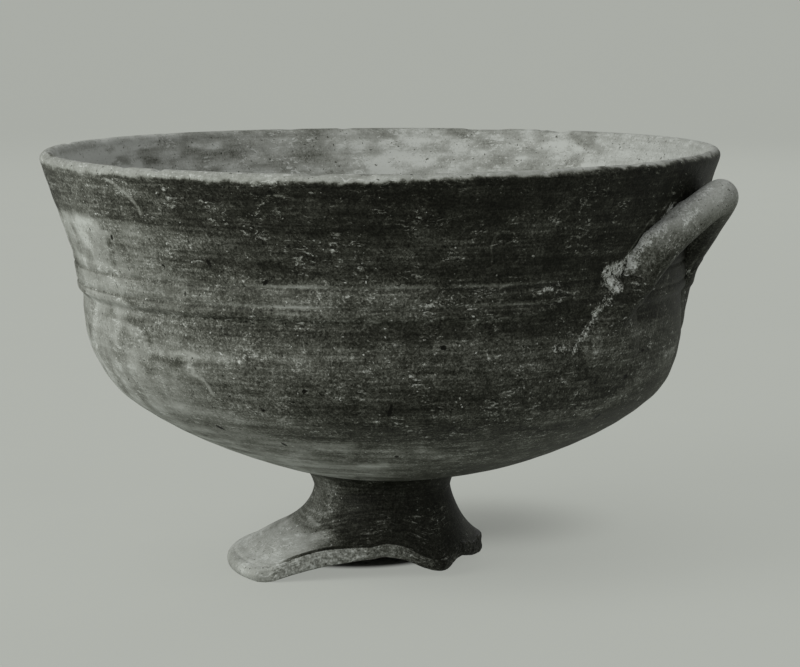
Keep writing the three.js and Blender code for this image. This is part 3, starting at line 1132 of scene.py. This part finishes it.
def chalk_share(pattern, lime):
    ragged = summed(lime, ((pattern.mottle, 1.2), (pattern.grain, 1.6), (pattern.dust, 0.8)))
    return times(between(ragged, 0.30, 0.95), between(lime, 0.02, 0.25))


def clay_material(name, bare_level, gloss):
    """Clay under slip. The tone layer runs from slip to bare clay in even steps to the eye."""
    material, tree, shader = new_material(name)
    pattern = clay_patterns(tree)
    worn = layer(tree, "tone")
    lively = times(between(worn, 0.42, 0.97, 1.0, 0.15), between(worn, 0.05, 0.30, 0.78, 1.0))
    tone = patterned_tone(pattern, worn, lively)

    fracture = layer(tree, "fracture")
    crumbs = times(pattern.crumbs, fracture)
    tone = plus(tone, plus(crumbs, fracture, -0.5), 1.3)
    scratch = summed(layer(tree, "scratch"), ((pattern.grain, 1.4), (pattern.mottle, 1.0)))
    tone = towards(between(scratch, 0.45, -0.25, 0.0, 0.75), tone, 0.95)
    nick = between(summed(layer(tree, "nick"), ((pattern.grain, 0.8),)), 0.25, -0.15)
    tone = plus(tone, nick, -0.9)
    tone = maths("MINIMUM", maths("MAXIMUM", tone, -0.2), 1.05)

    chalk = chalk_share(pattern, layer(tree, "lime"))
    chalk_level = between(summed(0.5, ((pattern.grain, 1.0), (pattern.dust, 0.7))), 0.2, 0.8, 0.18, 0.60)
    level = times(maths("POWER", bare_level / slip_level, tone), slip_level)
    level = towards(chalk, level, chalk_level)
    colour = add(tree, "ShaderNodeCombineColor", {
        "Red": times(level, red_share), "Green": level, "Blue": maths("POWER", level, blue_power)})

    relief = summed(0.0, (
        (pattern.mottle, 1.0), (pattern.grain, 0.7), (pattern.streak, 0.6), (chalk, 0.8), (nick, -0.8)))
    relief = plus(times(relief, lively), crumbs, 3.0)
    bump = add(tree, "ShaderNodeBump", {"Height": relief, "Strength": 0.35, "Distance": 0.0006})
    fill(shader, {
        "Base Color": colour.outputs[0],
        "Roughness": between(maths("MAXIMUM", tone, chalk), 0.2, 0.9, gloss, 0.92),
        "Specular IOR Level": 0.06,
        "Normal": bump.outputs["Normal"]})
    return material


def seen_rays(tree):
    """One for rays that show a surface to the camera, also in gloss or through glass."""
    path = add(tree, "ShaderNodeLightPath", {}).outputs
    shown = maths("MAXIMUM", path["Is Camera Ray"], path["Is Glossy Ray"])
    return maths("MAXIMUM", shown, path["Is Transmission Ray"])


def floor_material():
    """Pale floor with an even glow for the camera, but not in the bowl's shade."""
    material, tree, shader = new_material("pale_floor")
    place = object_place(tree)
    mottle = between(texture(place, 14, 3), 0.3, 0.7)
    first, second = (grey(level) for level in floor_levels)
    colour = add(tree, "ShaderNodeMix", {0: mottle, 6: first, 7: second}, data_type="RGBA")
    fill(shader, {"Base Color": colour.outputs[2], "Roughness": 0.95, "Specular IOR Level": 0.1})

    def shade(middle, edge, inside, beyond):
        """Change with the distance from a middle."""
        centre = (Vector(axis_place) + view_turn() @ Vector((*middle, 0))) * MM
        away = add(tree, "ShaderNodeVectorMath", {0: place, 1: centre}, operation="DISTANCE")
        return between(away.outputs["Value"], edge[0] * MM, edge[1] * MM, inside, beyond)

    close_by = shade(foot_shade_place, foot_shade_edge, 0.0, 0.72)
    share = maths("ADD", close_by, shade(foot_shade_place, wide_shade_edge, 0.0, 0.16))
    share = times(share, shade(body_shade_place, body_shade_edge, 0.22, 1.0))
    glow = add(tree, "ShaderNodeEmission", {"Color": grey(floor_glow)})
    mix_seen(tree, times(share, seen_rays(tree)), shader, glow, "Material Output")
    return material


def mix_seen(tree, share, first, second, output):
    mix = add(tree, "ShaderNodeMixShader", {0: share, 1: first.outputs[0], 2: second.outputs[0]})
    fill(tree.nodes[output], {"Surface": mix.outputs[0]})


# Stage: a pale sweep, the light and the camera

def view_turn():
    return Matrix.Rotation(camera_azimuth, 4, "Z")


def make_floor():
    bend = arc((bend_start, bend_radius), bend_radius, -math.pi / 2, 0, 16)
    profile = [(stage_front, 0), *bend, (bend_start + bend_radius, backdrop_top)]
    count = len(profile)
    corners = [Vector((x, *point)) for x in (-stage_half_width, stage_half_width) for point in profile]
    faces = [[i, count + i, count + i + 1, i + 1] for i in range(count - 1)]
    sweep = mesh_piece("sweep", np.array([view_turn() @ corner for corner in corners]), faces, {})
    sweep.data.materials.append(floor_material())


def make_light(name, place, size, power):
    data = bpy.data.lights.new(name, "AREA")
    data.size = size
    data.energy = power
    lamp = new_object(name, data)
    middle = Vector(axis_place) * MM
    lamp.location = view_turn() @ Vector(place) + middle
    aim = middle + Vector((0, 0, lamp_aim_height * MM)) - lamp.location
    lamp.rotation_euler = aim.to_track_quat("-Z", "Y").to_euler()


def make_world():
    """Even light from all round, and a backdrop in its place for the camera."""
    world = bpy.data.worlds.new("studio")
    world.use_nodes = True
    tree = world.node_tree
    light = tree.nodes["Background"]
    fill(light, {"Color": (1, 1, 1, 1), "Strength": ambient_strength})
    backdrop = add(tree, "ShaderNodeBackground", {"Color": grey(backdrop_level)})
    mix_seen(tree, seen_rays(tree), light, backdrop, "World Output")
    bpy.context.scene.world = world


def make_camera():
    data = bpy.data.cameras.new("camera")
    data.sensor_width = sensor_width
    data.lens = sensor_width * focal_pixels / image_width
    place = Vector((0, -camera_distance, rim_height + camera_rise))
    pose = Matrix.Rotation(-camera_yaw, 4, "Z")
    pose = pose @ Matrix.Rotation(math.pi / 2 - camera_pitch, 4, "X") @ Matrix.Rotation(camera_roll, 4, "Z")
    middle = Matrix.Translation(Vector(axis_place) * MM)
    camera = new_object("camera", data)
    camera.matrix_world = middle @ view_turn() @ Matrix.Translation(place * MM) @ pose
    bpy.context.scene.camera = camera


def dress(piece, material, node):
    piece.data.materials.append(material)
    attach(piece, "root")
    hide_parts(node)


make_camera()
make_floor()
make_world()
for lamp in lamps:
    make_light(*lamp)
bpy.context.scene.view_settings.view_transform = "Standard"

slipped = clay_material("slipped_clay", clay_level, 0.5)
worn_clay = clay_material("worn_clay", clay_level, 0.55)
luting = clay_material("luting_clay", luting_level, 0.55)
dress(make_bowl(), slipped, "bowl")
dress(make_foot(), worn_clay, "foot")
dress(make_foot_luting(), luting, "foot_luting")
dress(make_handle(), slipped, "handle")
front_root = make_wad(
    "front_root", height=3.2, side=-1, seed=3, half_length=14.5, half_breadth=12.5, trailing=7)
dress(front_root, luting, "handle_luting_front")
rear_root = make_wad(
    "rear_root", height=2.0, side=1, seed=5, half_length=14, half_breadth=12, trailing=0)
dress(rear_root, luting, "handle_luting_rear")
